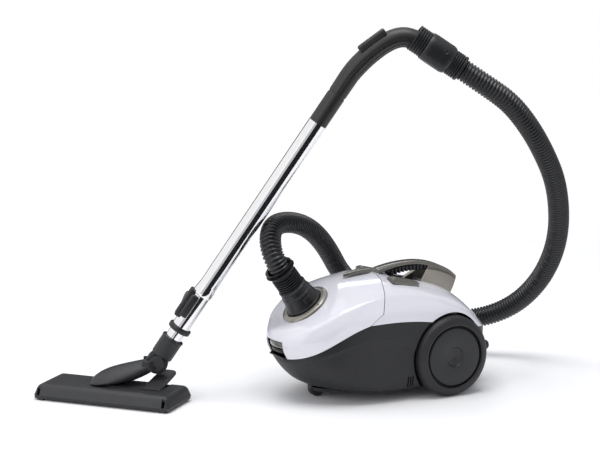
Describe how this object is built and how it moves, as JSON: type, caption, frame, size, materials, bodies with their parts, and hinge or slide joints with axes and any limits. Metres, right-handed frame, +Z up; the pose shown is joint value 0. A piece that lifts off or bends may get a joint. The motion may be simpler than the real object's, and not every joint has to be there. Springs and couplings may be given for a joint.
{
  "type": "canister vacuum cleaner",
  "caption": "Wheeled canister vacuum with hinged lid, ribbed hose, bent grip, telescopic tube and swivelling floor head.",
  "frame": {"origin": "middle of the floor area under the cleaner, hose left out, at floor level", "axes": "+Z up; the canister faces -X; +Y is to the canister's right"},
  "size_m": [1.0017, 0.4824, 0.6827],
  "materials": {
    "shell_white": "gloss white moulded plastic",
    "base_black": "fine matt charcoal plastic",
    "taupe": "satin metallic taupe lacquer",
    "taupe_plastic": "satin metallic taupe plastic",
    "chrome": "polished chromed steel tube",
    "steel": "plain steel",
    "rubber": "soft black rubber",
    "tyre": "hard rubber tread",
    "hose": "ribbed black flexible plastic",
    "grey_plastic": "plain grey plastic",
    "paper": "filter paper",
    "foam": "filter foam",
    "card": "pressed cardboard",
    "bristle": "dense nylon bristles",
    "board": "circuit board laminate"
  },
  "bodies": {
    "canister": {"lower_chassis": "base_black", "rear_shell": "shell_white", "handle_insert": "base_black", "carry_handle": "taupe_plastic", "handle_foot": "taupe_plastic", "dust_bag": "paper", "bag_holder": "grey_plastic", "bag_collar": "card", "motor_filter": "foam", "motor_housing": "grey_plastic", "motor_seal": "rubber", "reel_spindle": "steel", "exhaust_filter": "foam", "exhaust_grille": "base_black", "cord_outlet": "base_black", "switch_board": "board", "rear_axles": "steel", "hose": "hose", "outer_tube": "chrome", "tube_collar": "base_black", "lock_saddle": "base_black", "grip_tube": "base_black", "grip_upper": "base_black", "grip_lower": "base_black"},
    "left_wheel": {"tyre_left": "tyre", "wheel_left": "base_black"},
    "right_wheel": {"tyre_right": "tyre", "wheel_right": "base_black"},
    "caster": {"caster_fork": "base_black", "caster_pin": "steel"},
    "caster_roller": {"caster_wheel": "tyre"},
    "lid_group": {"lid": "shell_white", "lid_seal": "rubber", "inlet_ring": "taupe", "ridge_strip": "taupe_plastic"},
    "latch": {"latch_button": "taupe_plastic"},
    "cuff": {"hose_cuff": "base_black", "hose_sleeve": "rubber"},
    "left_release": {"release_button_left": "base_black"},
    "right_release": {"release_button_right": "base_black"},
    "power_key": {"power_pedal": "taupe_plastic"},
    "rewind_key": {"rewind_pedal": "taupe_plastic"},
    "reel": {"cord_reel": "grey_plastic"},
    "fan": {"motor_fan": "steel"},
    "telescope": {"inner_tube": "chrome", "wand_neck": "base_black", "neck_pins": "steel"},
    "tube_lock": {"lock_slider": "grey_plastic"},
    "valve": {"air_slider": "base_black"},
    "hose_end": {"hose_swivel": "base_black"},
    "elbow_group": {"elbow": "base_black"},
    "head": {"head_cover": "base_black", "head_sole": "base_black", "roller_pins": "steel"},
    "left_roller": {"head_roller_left": "tyre"},
    "right_roller": {"head_roller_right": "tyre"},
    "head_rocker": {"head_pedal": "base_black"},
    "brushes": {"brush_strips": "bristle"}
  },
  "joints": [
    {"name": "left_wheel_spin", "type": "hinge", "parent": "canister", "child": "left_wheel", "pos_m": [0.287, -0.184, 0.076], "axis": [0, 1, 0], "continuous": true},
    {"name": "right_wheel_spin", "type": "hinge", "parent": "canister", "child": "right_wheel", "pos_m": [0.287, 0.052, 0.076], "axis": [0, 1, 0], "continuous": true},
    {"name": "caster_swivel", "type": "hinge", "parent": "canister", "child": "caster", "pos_m": [0.091, -0.066, 0.03], "axis": [0, 0, 1], "continuous": true},
    {"name": "caster_roll", "type": "hinge", "parent": "caster", "child": "caster_roller", "pos_m": [0.067, -0.066, 0.015], "axis": [0, 1, 0], "continuous": true},
    {"name": "lid_hinge", "type": "hinge", "parent": "canister", "child": "lid_group", "pos_m": [0.187, -0.066, 0.227], "axis": [0, 1, 0], "range_deg": [0, 48], "deforming": ["hose"]},
    {"name": "latch_press", "type": "slide", "parent": "lid_group", "child": "latch", "axis": [1, 0, 0], "range_m": [0, 0.003], "stiffness_N_per_m": 400, "springref_m": -0.002},
    {"name": "cuff_turn", "type": "hinge", "parent": "lid_group", "child": "cuff", "pos_m": [0.044, -0.066, 0.1735], "axis": [-0.5934, 0, 0.8049], "continuous": true},
    {"name": "left_release_press", "type": "slide", "parent": "cuff", "child": "left_release", "axis": [0, 1, 0], "range_m": [0, 0.0025], "stiffness_N_per_m": 400, "springref_m": -0.002},
    {"name": "right_release_press", "type": "slide", "parent": "cuff", "child": "right_release", "axis": [0, -1, 0], "range_m": [0, 0.0025], "stiffness_N_per_m": 400, "springref_m": -0.002},
    {"name": "power_press", "type": "slide", "parent": "canister", "child": "power_key", "axis": [-0.2419, 0, -0.9703], "range_m": [0, 0.004], "stiffness_N_per_m": 900, "springref_m": -0.003},
    {"name": "rewind_press", "type": "slide", "parent": "canister", "child": "rewind_key", "axis": [-0.2419, 0, -0.9703], "range_m": [0, 0.004], "stiffness_N_per_m": 900, "springref_m": -0.003},
    {"name": "reel_spin", "type": "hinge", "parent": "canister", "child": "reel", "pos_m": [0.283, -0.122, 0.104], "axis": [0, 1, 0], "continuous": true},
    {"name": "fan_spin", "type": "hinge", "parent": "canister", "child": "fan", "pos_m": [0.227, -0.032, 0.1], "axis": [1, 0, 0], "continuous": true},
    {"name": "telescope_slide", "type": "slide", "parent": "canister", "child": "telescope", "axis": [-0.4881, 0.2639, -0.832], "range_m": [0, 0.33]},
    {"name": "lock_press", "type": "slide", "parent": "canister", "child": "tube_lock", "axis": [0.4881, -0.2639, 0.832], "range_m": [0, 0.004], "stiffness_N_per_m": 500, "springref_m": -0.003},
    {"name": "air_slide", "type": "slide", "parent": "canister", "child": "valve", "axis": [0.7062, -0.3818, 0.5962], "range_m": [0, 0.008]},
    {"name": "hose_swivel_turn", "type": "hinge", "parent": "canister", "child": "hose_end", "pos_m": [0.25012, -0.1852, 0.63776], "axis": [0.7318, -0.3957, -0.5548], "continuous": true},
    {"name": "wand_tilt", "type": "hinge", "parent": "telescope", "child": "elbow_group", "pos_m": [-0.19984, 0.0581, 0.069], "axis": [0.4756, 0.8796, 0], "range_deg": [-46, 28]},
    {"name": "head_swivel", "type": "hinge", "parent": "elbow_group", "child": "head", "pos_m": [-0.26758, 0.09472, 0.02], "axis": [0, 0, 1], "range_deg": [-148, 11]},
    {"name": "left_roller_spin", "type": "hinge", "parent": "head", "child": "left_roller", "pos_m": [-0.31823, 0.18818, 0.007], "axis": [0.6481, -0.7615, 0], "continuous": true},
    {"name": "right_roller_spin", "type": "hinge", "parent": "head", "child": "right_roller", "pos_m": [-0.18342, 0.02978, 0.007], "axis": [0.6481, -0.7615, 0], "continuous": true},
    {"name": "rocker_press", "type": "hinge", "parent": "head", "child": "head_rocker", "pos_m": [-0.2301, 0.01828, 0.0285], "axis": [-0.6481, 0.7615, 0], "range_deg": [0, 6]},
    {"name": "brush_lift", "type": "slide", "parent": "head", "child": "brushes", "axis": [0, 0, 1], "range_m": [0, 0.005]}
  ],
  "couplings": [
    {"joint": "brush_lift", "follows": "rocker_press", "m_per_rad": 0.045837}
  ]
}
